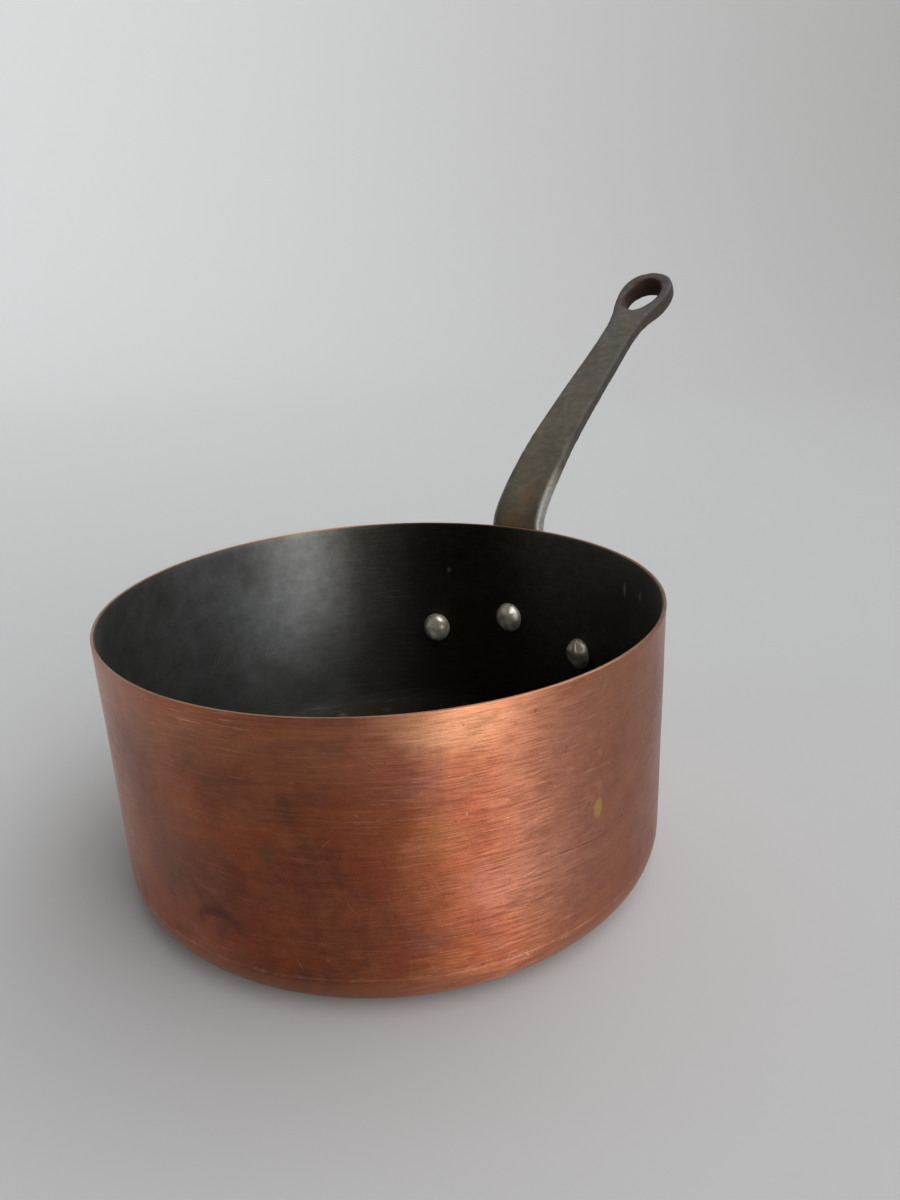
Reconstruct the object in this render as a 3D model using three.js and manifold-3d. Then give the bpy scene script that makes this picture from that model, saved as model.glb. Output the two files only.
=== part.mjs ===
// Copper saucepan: a tin-lined copper body and a cast-iron handle held by three rivets.
// Millimetres. +Z up, the handle along +X, the origin at the centre of the flat base.
import * as THREE from "three";
import { mergeVertices } from "three/addons/utils/BufferGeometryUtils.js";
import Module from "manifold-3d";

const wasm = await Module();
wasm.setup();

// Body
const BODY_RADIUS = 80;
const BODY_HEIGHT = 78.5;
const CORNER_RADIUS = 10.5;
const COPPER_WALL = 0.8;
const LINING_GAP = 0.05;
const LINING_WALL = 0.2;
const BODY_SEGMENTS = 96;
const CORNER_STEPS = 6;

// Rivets: one near the handle's centre line and one in each wing. The angles are round the body.
const SIDE_RIVET_ANGLE = THREE.MathUtils.degToRad(22.3);
const SIDE_RIVET_HEIGHT = 37.2;
const CENTRE_RIVET_ANGLE = THREE.MathUtils.degToRad(0.9);
const CENTRE_RIVET_HEIGHT = 43.8;
const SHANK_RADIUS = 2.7;
const HOLE_CLEARANCE = 0.3;
const INNER_HEAD_RADIUS = 5.4;
const INNER_HEAD_HEIGHT = 4;
const OUTER_HEAD_RADIUS = 4.8;
const OUTER_HEAD_HEIGHT = 1.9;
const INNER_HEAD_GAP = 0.3;
const OUTER_HEAD_GAP = 0.15;
const RIVET_SEGMENTS = 24;

// Handle
const FLANGE_GAP = 0.3;
const FLANGE_THICKNESS = 3.4;
const FLANGE_TOP = 66;
const FLANGE_BOTTOM = 33.5;
const FLANGE_TOP_HALF_WIDTH = 9.4;
const FLANGE_EASE = 11;
const WING_RADIUS = 9.5;
const STEM_STEPS = 64;
const EYE_STEPS = 16;
const EYE_CENTRE = 159.5;
const EYE_HALF_WIDTH = 11.7;
const EYE_REACH = 12.9;
const EYE_SQUARENESS = 2.3;
const EYE_TIP_FLAT = 0.2;
const MIN_HALF_WIDTH = 0.15;
const HOLE_CENTRE = 155.6;
const HOLE_HALF_LENGTH = 11.2;
const HOLE_HALF_WIDTH = 6.9;
const HOLE_TAPER = 0.2;
const CUTTER_LENGTH = 40;

const copper = new THREE.MeshStandardMaterial({ color: "#a9684a", roughness: 0.38, metalness: 1 });
const tin = new THREE.MeshStandardMaterial({ color: "#4b4a49", roughness: 0.5, metalness: 0.9 });
const castIron = new THREE.MeshStandardMaterial({ color: "#4b463e", roughness: 0.6, metalness: 0.6 });
const rivetMetal = new THREE.MeshStandardMaterial({ color: "#8d867e", roughness: 0.4, metalness: 0.95 });

// Solids
function toSolid(geometry) {
  const bare = geometry.clone();
  bare.deleteAttribute("normal");
  bare.deleteAttribute("uv");
  const merged = mergeVertices(bare, 1e-4);
  const vertProperties = new Float32Array(merged.attributes.position.array);
  const triVerts = new Uint32Array(merged.index.array);
  return new wasm.Manifold(new wasm.Mesh({ numProp: 3, vertProperties, triVerts }));
}

function toGeometry(solid) {
  const mesh = solid.getMesh();
  const geometry = new THREE.BufferGeometry();
  geometry.setAttribute("position", new THREE.BufferAttribute(new Float32Array(mesh.vertProperties), 3));
  geometry.setIndex(new THREE.BufferAttribute(new Uint32Array(mesh.triVerts), 1));
  geometry.computeVertexNormals();
  return geometry;
}

function piece(name, geometry, material) {
  const mesh = new THREE.Mesh(geometry, material);
  mesh.name = name;
  return mesh;
}

// A closed profile, given as [radius, height] points, turned about Z.
function turned(points, segments) {
  const geometry = new THREE.LatheGeometry(points.map(([r, z]) => new THREE.Vector2(r, z)), segments);
  return geometry.rotateX(Math.PI / 2);
}

// A pan-shaped shell between two depths below the outer surface.
function panShell(outerInset, innerInset) {
  const outline = [[0, outerInset]];
  const corner = (inset, steps) => {
    const radius = CORNER_RADIUS - inset;
    const centre = BODY_RADIUS - CORNER_RADIUS;
    return steps.map((i) => {
      const angle = (i / CORNER_STEPS) * (Math.PI / 2);
      return [centre + radius * Math.sin(angle), CORNER_RADIUS - radius * Math.cos(angle)];
    });
  };
  const upward = Array.from({ length: CORNER_STEPS + 1 }, (_, i) => i);
  outline.push(...corner(outerInset, upward));
  outline.push([BODY_RADIUS - outerInset, BODY_HEIGHT]);
  outline.push([BODY_RADIUS - innerInset, BODY_HEIGHT]);
  outline.push(...corner(innerInset, upward.toReversed()));
  outline.push([0, innerInset]);
  return turned(outline, BODY_SEGMENTS);
}

// A straight round bar along the radius at a rivet's place.
function rivetPlace(geometry, rivet) {
  return geometry.rotateY(Math.PI / 2).rotateZ(rivet.angle).translate(0, 0, rivet.height);
}

function rivetHole(rivet) {
  const radius = SHANK_RADIUS + HOLE_CLEARANCE;
  const bar = new THREE.CylinderGeometry(radius, radius, CUTTER_LENGTH, RIVET_SEGMENTS).rotateX(Math.PI / 2);
  return toSolid(rivetPlace(bar.translate(0, 0, BODY_RADIUS), rivet));
}

function cutRivetHoles(solid) {
  return rivets.reduce((rest, rivet) => rest.subtract(rivetHole(rivet)), solid);
}

const rivets = [
  { name: "rivet_left", angle: SIDE_RIVET_ANGLE, height: SIDE_RIVET_HEIGHT },
  { name: "rivet_center", angle: CENTRE_RIVET_ANGLE, height: CENTRE_RIVET_HEIGHT },
  { name: "rivet_right", angle: -SIDE_RIVET_ANGLE, height: SIDE_RIVET_HEIGHT },
];

// Body and lining
const liningOuter = COPPER_WALL + LINING_GAP;
const liningInner = liningOuter + LINING_WALL;
const copperBody = toGeometry(cutRivetHoles(toSolid(panShell(0, COPPER_WALL))));
const tinLining = toGeometry(cutRivetHoles(toSolid(panShell(liningOuter, liningInner))));

// A rivet turned about its own axis: inner dome, shank, outer dome. Its Z is the pan's radius.
function rivetGeometry() {
  const innerSeat = BODY_RADIUS - liningInner - INNER_HEAD_GAP;
  const outerSeat = BODY_RADIUS + FLANGE_GAP + FLANGE_THICKNESS + OUTER_HEAD_GAP;
  const domeSteps = 5;
  const dome = (seat, radius, height) =>
    Array.from({ length: domeSteps + 1 }, (_, i) => {
      const angle = (i / domeSteps) * (Math.PI / 2);
      return [radius * Math.sin(angle), seat + height * Math.cos(angle)];
    });
  const innerDome = dome(innerSeat, INNER_HEAD_RADIUS, -INNER_HEAD_HEIGHT);
  const outerDome = dome(outerSeat, OUTER_HEAD_RADIUS, OUTER_HEAD_HEIGHT).reverse();
  innerDome[0][0] = 0;
  outerDome[domeSteps][0] = 0;
  const shank = [[SHANK_RADIUS, innerSeat], [SHANK_RADIUS, outerSeat]];
  return turned([...innerDome, ...shank, ...outerDome], RIVET_SEGMENTS);
}

// Handle spine: the line down the middle of the stem's upper face, in the XZ plane.
// It rises beside the wall, turns outward over the rim, runs out at a shallower slope
// and lifts again at the eye. Each entry is [distance along the spine, slope in degrees].
const SPINE_START = new THREE.Vector2(81, 52);
const SPINE_SLOPES = [
  [0, 90],
  [17, 90],
  [25.5, 80],
  [35.5, 46],
  [52.5, 35.5],
  [77.5, 29],
  [107.5, 27],
  [137.5, 27.5],
  [162.5, 26],
  [177.5, 31],
  [190, 37],
];
const SPINE_LEAD = 17.5;
const HALF_WIDTHS = [
  [0, 12],
  [10, 10.4],
  [20, 9.9],
  [52.5, 9.1],
  [92.5, 8],
  [117.5, 7.45],
  [137.5, 7],
  [150, 7.4],
  [158, 8.5],
  [166, 10.3],
  [SPINE_LEAD + EYE_CENTRE, EYE_HALF_WIDTH],
];

// The stem's thickness and the chamfers along its upper and lower edges, against the same distance.
// The stem grows out of the flange's face, its upper edges are broad where it crosses the rim,
// and the eye is the thickest part.
const THICKNESSES = [
  [0, 1.4],
  [6, 2.9],
  [18, 5.2],
  [28, 5.5],
  [45, 5.5],
  [80, 5.2],
  [140, 5.2],
  [158, 6.6],
  [170, 8],
  [190, 8],
];
const UPPER_CHAMFERS = [[0, 0.3], [14, 0.8], [28, 2.1], [45, 1.9], [75, 1.2], [190, 1.2]];
const LOWER_CHAMFERS = [[0, 0.3], [8, 1], [18, 1.4], [140, 1.4], [168, 2.8], [190, 2.8]];

// Smooth interpolation through [position, value] pairs.
function valueAt(table, position) {
  let i = 1;
  while (i < table.length - 1 && table[i][0] < position) i += 1;
  const slope = (j) => {
    if (j <= 0 || j >= table.length - 1) return 0;
    const before = (table[j][1] - table[j - 1][1]) / (table[j][0] - table[j - 1][0]);
    const after = (table[j + 1][1] - table[j][1]) / (table[j + 1][0] - table[j][0]);
    return before * after > 0 ? (2 * before * after) / (before + after) : 0;
  };
  const [x0, y0] = table[i - 1];
  const [x1, y1] = table[i];
  const span = x1 - x0;
  const t = THREE.MathUtils.clamp((position - x0) / span, 0, 1);
  const t2 = t * t;
  const t3 = t2 * t;
  const start = (2 * t3 - 3 * t2 + 1) * y0 + (t3 - 2 * t2 + t) * span * slope(i - 1);
  const end = (3 * t2 - 2 * t3) * y1 + (t3 - t2) * span * slope(i);
  return start + end;
}

// The point, direction and upward normal of the spine at a distance along it.
function spineAt(distance) {
  const step = 0.5;
  const point = SPINE_START.clone();
  const slopeAt = (d) => THREE.MathUtils.degToRad(valueAt(SPINE_SLOPES, d));
  for (let d = 0; d < distance; d += step) {
    const length = Math.min(step, distance - d);
    const angle = slopeAt(d + length / 2);
    point.x += length * Math.cos(angle);
    point.y += length * Math.sin(angle);
  }
  const angle = slopeAt(distance);
  return { point, angle, normal: new THREE.Vector2(-Math.sin(angle), Math.cos(angle)) };
}

function halfWidthAt(distance) {
  const beyond = (distance - SPINE_LEAD - EYE_CENTRE) / EYE_REACH;
  if (beyond <= 0) return valueAt(HALF_WIDTHS, distance);
  return EYE_HALF_WIDTH * Math.max(0, 1 - beyond ** EYE_SQUARENESS) ** (1 / EYE_SQUARENESS);
}

// Distances of the stem's cross-sections: even along the stem, closer round the eye's end.
function stemStations() {
  const eyeStart = SPINE_LEAD + EYE_CENTRE;
  const stem = Array.from({ length: STEM_STEPS }, (_, i) => (i / STEM_STEPS) * eyeStart);
  const endAngle = Math.asin(1 - EYE_TIP_FLAT / EYE_REACH);
  const eye = Array.from({ length: EYE_STEPS + 1 }, (_, i) => {
    return eyeStart + EYE_REACH * Math.sin((i / EYE_STEPS) * endAngle);
  });
  return [...stem, ...eye];
}

// The stem and eye: a bar with a chamfered section, extruded straight and then laid along the spine.
// The straight section only numbers its corners: 1 or 2 across, 0 to 3 down.
function stemSolid() {
  const corners = [[-2, -1], [-2, -2], [-1, -3], [1, -3], [2, -2], [2, -1], [1, 0], [-1, 0]];
  const section = new THREE.Shape(corners.map(([across, down]) => new THREE.Vector2(across, down)));
  const stations = stemStations();
  const steps = stations.length - 1;
  const bar = new THREE.ExtrudeGeometry(section, { depth: steps, steps, bevelEnabled: false });
  const rings = stations.map((distance) => {
    const thickness = valueAt(THICKNESSES, distance);
    const upper = valueAt(UPPER_CHAMFERS, distance);
    const lower = valueAt(LOWER_CHAMFERS, distance);
    const depths = [0, upper, thickness - lower, thickness];
    const insets = [upper, 0, 0, lower];
    return { ...spineAt(distance), half: halfWidthAt(distance), depths, insets };
  });
  const position = bar.attributes.position;
  for (let i = 0; i < position.count; i += 1) {
    const ring = rings[Math.round(position.getZ(i))];
    const level = Math.round(-position.getY(i));
    const across = Math.max(MIN_HALF_WIDTH, ring.half - ring.insets[level]) * Math.sign(position.getX(i));
    const depth = ring.depths[level];
    position.setXYZ(
      i,
      ring.point.x - ring.normal.x * depth,
      across,
      ring.point.y - ring.normal.y * depth,
    );
  }
  return toSolid(bar);
}

// Half of the flange's outline, unrolled, from the stem's side to the foot of the centre line:
// x is the distance round the wall, y the height.
function flangeHalfOutline() {
  const wing = BODY_RADIUS * SIDE_RIVET_ANGLE;
  const side = FLANGE_TOP_HALF_WIDTH;
  const wingTop = SIDE_RIVET_HEIGHT + WING_RADIUS;
  const wingFoot = SIDE_RIVET_HEIGHT - WING_RADIUS;
  const path = new THREE.Path();
  path.moveTo(side, FLANGE_TOP);
  path.bezierCurveTo(side, FLANGE_TOP - FLANGE_EASE, wing - FLANGE_EASE, wingTop, wing, wingTop);
  path.absarc(wing, SIDE_RIVET_HEIGHT, WING_RADIUS, Math.PI / 2, -Math.PI / 2, true);
  path.bezierCurveTo(wing - FLANGE_EASE, wingFoot, FLANGE_EASE, FLANGE_BOTTOM, 0, FLANGE_BOTTOM);
  return path.getPoints(10);
}

// The flange: its outline drawn on the wall, cut from a ring that follows the body.
function flangeSolid() {
  const chord = (x) => BODY_RADIUS * Math.sin(x / BODY_RADIUS);
  const half = flangeHalfOutline().map((p) => new THREE.Vector2(chord(p.x), p.y));
  const mirrored = half.slice(0, -1).reverse().map((p) => new THREE.Vector2(-p.x, p.y));
  const outline = new THREE.Shape([...half, ...mirrored]);
  const slab = new THREE.ExtrudeGeometry(outline, { depth: BODY_RADIUS, bevelEnabled: false });
  slab.rotateX(Math.PI / 2).rotateZ(Math.PI / 2);
  slab.translate(BODY_RADIUS / 2, 0, 0);
  const inner = BODY_RADIUS + FLANGE_GAP;
  const outer = inner + FLANGE_THICKNESS;
  const low = FLANGE_BOTTOM - WING_RADIUS;
  const high = FLANGE_TOP + 1;
  const band = [[inner, low], [outer, low], [outer, high], [inner, high], [inner, low]];
  return toSolid(slab).intersect(toSolid(turned(band, BODY_SEGMENTS * 2)));
}

// The hanging hole: an oval narrower toward the pan, cut square to the eye's face.
function hangingHole() {
  const count = 32;
  const outline = Array.from({ length: count }, (_, i) => {
    const angle = (i / count) * Math.PI * 2;
    const across = HOLE_HALF_WIDTH * Math.sin(angle) * (1 + HOLE_TAPER * Math.cos(angle));
    return new THREE.Vector2(HOLE_HALF_LENGTH * Math.cos(angle), across);
  });
  const shape = new THREE.Shape(outline);
  const bar = new THREE.ExtrudeGeometry(shape, { depth: CUTTER_LENGTH, bevelEnabled: false });
  const place = spineAt(SPINE_LEAD + HOLE_CENTRE);
  bar.translate(0, 0, -CUTTER_LENGTH / 2).rotateY(-place.angle);
  bar.translate(place.point.x, 0, place.point.y);
  return toSolid(bar);
}

const handle = toGeometry(cutRivetHoles(stemSolid().add(flangeSolid())).subtract(hangingHole()));

const saucepan = new THREE.Group();
saucepan.add(piece("copper_body", copperBody, copper));
saucepan.add(piece("tin_lining", tinLining, tin));
saucepan.add(piece("handle", handle, castIron));
for (const rivet of rivets) {
  saucepan.add(piece(rivet.name, rivetPlace(rivetGeometry(), rivet), rivetMetal));
}

export default saucepan;
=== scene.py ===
import math
import random

import bmesh
import bpy
from mathutils import Matrix, Vector, noise


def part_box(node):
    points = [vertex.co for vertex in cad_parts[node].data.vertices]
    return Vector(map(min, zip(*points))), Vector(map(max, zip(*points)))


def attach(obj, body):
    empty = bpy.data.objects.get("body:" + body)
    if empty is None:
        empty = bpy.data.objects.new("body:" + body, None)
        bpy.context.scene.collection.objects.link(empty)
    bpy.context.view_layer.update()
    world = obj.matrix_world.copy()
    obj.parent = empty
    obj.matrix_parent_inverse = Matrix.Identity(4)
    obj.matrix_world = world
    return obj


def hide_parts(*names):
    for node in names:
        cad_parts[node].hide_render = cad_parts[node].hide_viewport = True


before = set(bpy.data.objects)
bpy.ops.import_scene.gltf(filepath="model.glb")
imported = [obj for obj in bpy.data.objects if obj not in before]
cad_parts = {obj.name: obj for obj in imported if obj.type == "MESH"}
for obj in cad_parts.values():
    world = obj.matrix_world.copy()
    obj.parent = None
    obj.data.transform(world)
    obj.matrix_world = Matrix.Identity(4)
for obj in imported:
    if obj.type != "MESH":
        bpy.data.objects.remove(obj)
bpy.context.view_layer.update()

# Driving sizes, in metres. The body's size and the rivets' places come from the CAD parts in
# model.glb.
MM = 0.001
body_low, body_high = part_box("copper_body")
BODY_RADIUS = (body_high.y - body_low.y) / 2
BODY_HEIGHT = body_high.z
CORNER_RADIUS = 10.5 * MM
COPPER_WALL = 0.8 * MM
LINING_GAP = 0.05 * MM
LINING_WALL = 0.2 * MM
LINING_DROP = 0.12 * MM
LINING_RADIUS = BODY_RADIUS - COPPER_WALL - LINING_GAP - LINING_WALL
RIM_SOFTENING = 0.14 * MM
FLANGE_GAP = 0.3 * MM
FLANGE_THICKNESS = 3.4 * MM
WING_RADIUS = 9.5 * MM
SHANK_RADIUS = 2.7 * MM
HOLE_RADIUS = 3.0 * MM
INNER_HEAD = (5.4 * MM, 3.7 * MM)
OUTER_HEAD = (4.8 * MM, 1.9 * MM)

# Each turned wall has the same slow unevenness, so the lining follows the copper
WALL_SEGMENTS = 288
WALL_UNEVENNESS = 0.16 * MM
WALL_WAVE = 22 * MM
WALL_SEED = 3.0


# Mesh helpers

def add_object(name, verts, faces, smooth_angle=40):
    """Makes a mesh object in the scene."""
    mesh = bpy.data.meshes.new(name)
    mesh.from_pydata([tuple(v) for v in verts], [], faces)
    mesh.validate()
    mesh.update()
    obj = bpy.data.objects.new(name, mesh)
    bpy.context.scene.collection.objects.link(obj)
    make_smooth(obj, smooth_angle)
    return obj


def make_smooth(obj, angle):
    """Smooth shading, apart from edges sharper than an angle in degrees."""
    for polygon in obj.data.polygons:
        polygon.use_smooth = True
    obj.data.set_sharp_from_angle(angle=math.radians(angle))


def apply_modifiers(obj):
    """Swaps an object's mesh for the one that its modifiers give."""
    depsgraph = bpy.context.evaluated_depsgraph_get()
    baked = bpy.data.meshes.new_from_object(obj.evaluated_get(depsgraph))
    old = obj.data
    obj.modifiers.clear()
    obj.data = baked
    baked.name = obj.name
    bpy.data.meshes.remove(old)


def smooth_over(obj, iterations):
    """Adds a Smooth modifier, which apply_modifiers then bakes in."""
    modifier = obj.modifiers.new("smooth", "SMOOTH")
    modifier.factor = 0.5
    modifier.iterations = iterations


def combine(obj, other, operation):
    """Joins another closed mesh to obj, or cuts it away, and removes the other object."""
    modifier = obj.modifiers.new("combine", "BOOLEAN")
    modifier.operation = operation
    modifier.object = other
    modifier.solver = "EXACT"
    apply_modifiers(obj)
    spare = other.data
    bpy.data.objects.remove(other)
    bpy.data.meshes.remove(spare)


ON_AXIS = 1e-7


def turn_profile(profile, segments):
    """Vertices and faces of a (radius, height) profile turned about Z, from axis to axis."""
    verts, faces, rings = [], [], []
    for radius, height in profile:
        if radius < ON_AXIS:
            rings.append([len(verts)])
            verts.append(Vector((0, 0, height)))
            continue
        rings.append(list(range(len(verts), len(verts) + segments)))
        for i in range(segments):
            angle = 2 * math.pi * i / segments
            verts.append(Vector((radius * math.cos(angle), radius * math.sin(angle), height)))
    for low, high in zip(rings, rings[1:]):
        for i in range(segments):
            j = (i + 1) % segments
            if len(low) == 1:
                faces.append((low[0], high[j], high[i]))
            elif len(high) == 1:
                faces.append((low[i], low[j], high[0]))
            else:
                faces.append((low[i], low[j], high[j], high[i]))
    return verts, faces


def arc(centre, radius, start, end, steps):
    """Points of a circular arc in the profile plane, angles in degrees."""
    points = []
    for i in range(steps + 1):
        angle = math.radians(start + (end - start) * i / steps)
        points.append((centre[0] + radius * math.cos(angle), centre[1] + radius * math.sin(angle)))
    return points


def line(start, end, steps):
    """Points of a straight stretch, without its two ends."""
    return [
        (start[0] + (end[0] - start[0]) * i / steps, start[1] + (end[1] - start[1]) * i / steps)
        for i in range(1, steps)
    ]


# Handle curves, as distance along the spine against a value, in mm and degrees

SPINE_START = Vector((81, 0, 52))
SPINE_SLOPES = (
    (0, 90), (17, 90), (25.5, 80), (35.5, 46), (52.5, 35.5), (77.5, 29),
    (107.5, 27), (137.5, 27.5), (162.5, 26), (177.5, 31), (190, 37),
)
SPINE_LEAD = 17.5
EYE_CENTRE = 177.0
EYE_HALF_WIDTH = 11.7
EYE_REACH = 12.9
EYE_SQUARENESS = 2.3
HALF_WIDTHS = (
    (0, 12), (10, 10.4), (20, 9.9), (52.5, 9.1), (92.5, 8), (117.5, 7.45),
    (137.5, 7), (150, 7.4), (158, 8.5), (166, 10.3), (EYE_CENTRE, EYE_HALF_WIDTH),
)
THICKNESSES = (
    (0, 1.4), (6, 2.9), (18, 5.2), (28, 5.5), (45, 5.5),
    (80, 5.2), (140, 5.2), (158, 6.6), (170, 8), (190, 8),
)
UPPER_EDGES = ((0, 0.3), (14, 0.8), (28, 2.1), (45, 1.9), (75, 1.3), (190, 1.3))
LOWER_EDGES = ((0, 0.3), (8, 1.1), (18, 1.5), (140, 1.5), (168, 2.8), (190, 2.8))
HOLE_CENTRE = SPINE_LEAD + 155.6
HOLE_HALF_LENGTH = 11.2
HOLE_HALF_WIDTH = 6.9
HOLE_TAPER = 0.2
SPINE_STEP = 0.5
STEM_STATIONS = 150
EYE_STATIONS = 30
EYE_TURN = 0.985
LEAST_HALF_WIDTH = 0.2


def value_at(table, position):
    """Smooth interpolation through (position, value) pairs."""
    i = 1
    while i < len(table) - 1 and table[i][0] < position:
        i += 1

    def slope(j):
        if j <= 0 or j >= len(table) - 1:
            return 0
        before = (table[j][1] - table[j - 1][1]) / (table[j][0] - table[j - 1][0])
        after = (table[j + 1][1] - table[j][1]) / (table[j + 1][0] - table[j][0])
        return 2 * before * after / (before + after) if before * after > 0 else 0

    x0, y0 = table[i - 1]
    x1, y1 = table[i]
    span = x1 - x0
    t = min(1, max(0, (position - x0) / span))
    start = (2 * t**3 - 3 * t**2 + 1) * y0 + (t**3 - 2 * t**2 + t) * span * slope(i - 1)
    end = (3 * t**2 - 2 * t**3) * y1 + (t**3 - t**2) * span * slope(i)
    return start + end


def spine_at(distance):
    """The point and the upward normal of the spine at a distance along it, in mm, and its slope."""
    point = SPINE_START.copy()
    travelled = 0
    while travelled < distance:
        length = min(SPINE_STEP, distance - travelled)
        angle = math.radians(value_at(SPINE_SLOPES, travelled + length / 2))
        point += Vector((math.cos(angle), 0, math.sin(angle))) * length
        travelled += SPINE_STEP
    angle = math.radians(value_at(SPINE_SLOPES, distance))
    return point, Vector((-math.sin(angle), 0, math.cos(angle))), angle


def half_width_at(distance):
    """Half of the handle's width, in mm. The end of the eye is a rounded oval."""
    beyond = (distance - EYE_CENTRE) / EYE_REACH
    if beyond <= 0:
        return value_at(HALF_WIDTHS, distance)
    return EYE_HALF_WIDTH * max(0, 1 - beyond**EYE_SQUARENESS) ** (1 / EYE_SQUARENESS)


# Body and lining

def soften_shell(verts):
    """Gives a turned shell the slow unevenness of hand-planished metal. The base stays flat."""
    for v in verts:
        radius = math.hypot(v.x, v.y)
        if radius < ON_AXIS:
            continue
        place = Vector((v.x, v.y, v.z)) / WALL_WAVE + Vector((WALL_SEED, 0, 0))
        wave = noise.noise(place) * WALL_UNEVENNESS
        upright = min(1, max(0, (v.z - 2 * MM) / (8 * MM)))
        v.x += v.x / radius * wave * upright
        v.y += v.y / radius * wave * upright


def copper_shell():
    """The copper body: flat base, rounded corner, straight wall and a cut rim with soft edges."""
    corner = (BODY_RADIUS - CORNER_RADIUS, CORNER_RADIUS)
    inner = BODY_RADIUS - COPPER_WALL
    inner_corner = CORNER_RADIUS - COPPER_WALL
    top = BODY_HEIGHT
    soft = RIM_SOFTENING
    profile = [(0, 0)]
    profile += line((0, 0), (corner[0], 0), 24)
    profile += arc(corner, CORNER_RADIUS, -90, 0, 14)
    profile += line((BODY_RADIUS, corner[1]), (BODY_RADIUS, top - soft), 30)
    profile += arc((BODY_RADIUS - soft, top - soft), soft, 0, 90, 5)
    profile += arc((inner + soft * 0.6, top - soft * 0.6), soft * 0.6, 90, 180, 3)
    profile += line((inner, top - soft), (inner, corner[1]), 16)
    profile += arc(corner, inner_corner, 0, -90, 8)
    profile += line((corner[0], COPPER_WALL), (0, COPPER_WALL), 8)
    profile += [(0, COPPER_WALL)]
    verts, faces = turn_profile(profile, WALL_SEGMENTS)
    soften_shell(verts)
    return add_object("copper_pan_shell", verts, faces)


def lining_shell():
    """The tin coat, which ends just below the copper's rim."""
    corner = (BODY_RADIUS - CORNER_RADIUS, CORNER_RADIUS)
    outset = COPPER_WALL + LINING_GAP
    outer = BODY_RADIUS - outset
    outer_corner = CORNER_RADIUS - outset
    inner_corner = outer_corner - LINING_WALL
    top = BODY_HEIGHT - LINING_DROP
    half = LINING_WALL / 2
    profile = [(0, outset)]
    profile += line((0, outset), (corner[0], outset), 12)
    profile += arc(corner, outer_corner, -90, 0, 8)
    profile += line((outer, corner[1]), (outer, top - half), 16)
    profile += arc((outer - half, top - half), half, 0, 180, 6)
    profile += line((LINING_RADIUS, top - half), (LINING_RADIUS, corner[1]), 30)
    profile += arc(corner, inner_corner, 0, -90, 14)
    profile += line((corner[0], outset + LINING_WALL), (0, outset + LINING_WALL), 30)
    profile += [(0, outset + LINING_WALL)]
    verts, faces = turn_profile(profile, WALL_SEGMENTS)
    soften_shell(verts)
    return add_object("tin_lining_skin", verts, faces)


# Rivets. A dome's rise at a share t of its radius is (1 - t**a) ** (1 / b) of its height.

INNER_DOME = (2.6, 1.7)
OUTER_DOME = (2.2, 2.0)
DOME_STEPS = 16
RIVET_SEGMENTS = 48
SEAT_CLEARANCE = 0.03 * MM
INNER_BLOWS = 3
OUTER_BLOWS = 5
BLOW_DEPTH = 0.75
BLOW_SOFTNESS = 0.07
RIVET_LUMP_SIZE = 3.0 * MM
RIVET_LUMP_HEIGHT = 0.7 * MM
HEAD_WIDTH_SCALE = 0.98
INNER_HEAD_STRETCH = 1.09


def rivet_axis(node):
    """The angle round the pan and the height of a rivet, from its CAD node's box."""
    low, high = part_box(node)
    middle = (low + high) / 2
    return math.atan2(middle.y, middle.x), middle.z


def place_radially(verts, angle, height):
    """Turns vertices whose X is the pan's radius to a rivet's place."""
    turn = Matrix.Rotation(angle, 4, "Z")
    return [turn @ Vector((v.x, v.y, v.z + height)) for v in verts]


def rivet_hole_cutter(node):
    """A bar along a rivet's axis, from inside the pan to beyond the flange."""
    angle, height = rivet_axis(node)
    start, end = 60 * MM, 100 * MM
    profile = [(0, start), (HOLE_RADIUS, start), (HOLE_RADIUS, end), (0, end)]
    verts, faces = turn_profile(profile, 40)
    verts = [Vector((v.z, v.x, v.y)) for v in verts]
    return add_object("cutter", place_radially(verts, angle, height), faces)


def hammered(point, facets):
    """Presses a point of a unit dome in where it stands beyond a blow's plane."""
    for direction, reach in facets:
        beyond = point.dot(direction) - reach
        if beyond > 0:
            point = point - direction * BLOW_DEPTH * beyond**2 / (beyond + BLOW_SOFTNESS)
    return point


def hammer_blows(seed, count):
    """Facets on the upper half of a unit dome, as directions and distances from its centre."""
    draw = random.Random(seed)
    facets = []
    for i in range(count):
        round_way = 2 * math.pi * (i + draw.uniform(-0.25, 0.25)) / count
        lean = math.radians(draw.uniform(45, 78))
        flat = math.sin(lean)
        direction = Vector((flat * math.cos(round_way), flat * math.sin(round_way), math.cos(lean)))
        facets.append((direction, draw.uniform(0.86, 1.0)))
    return facets


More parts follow.
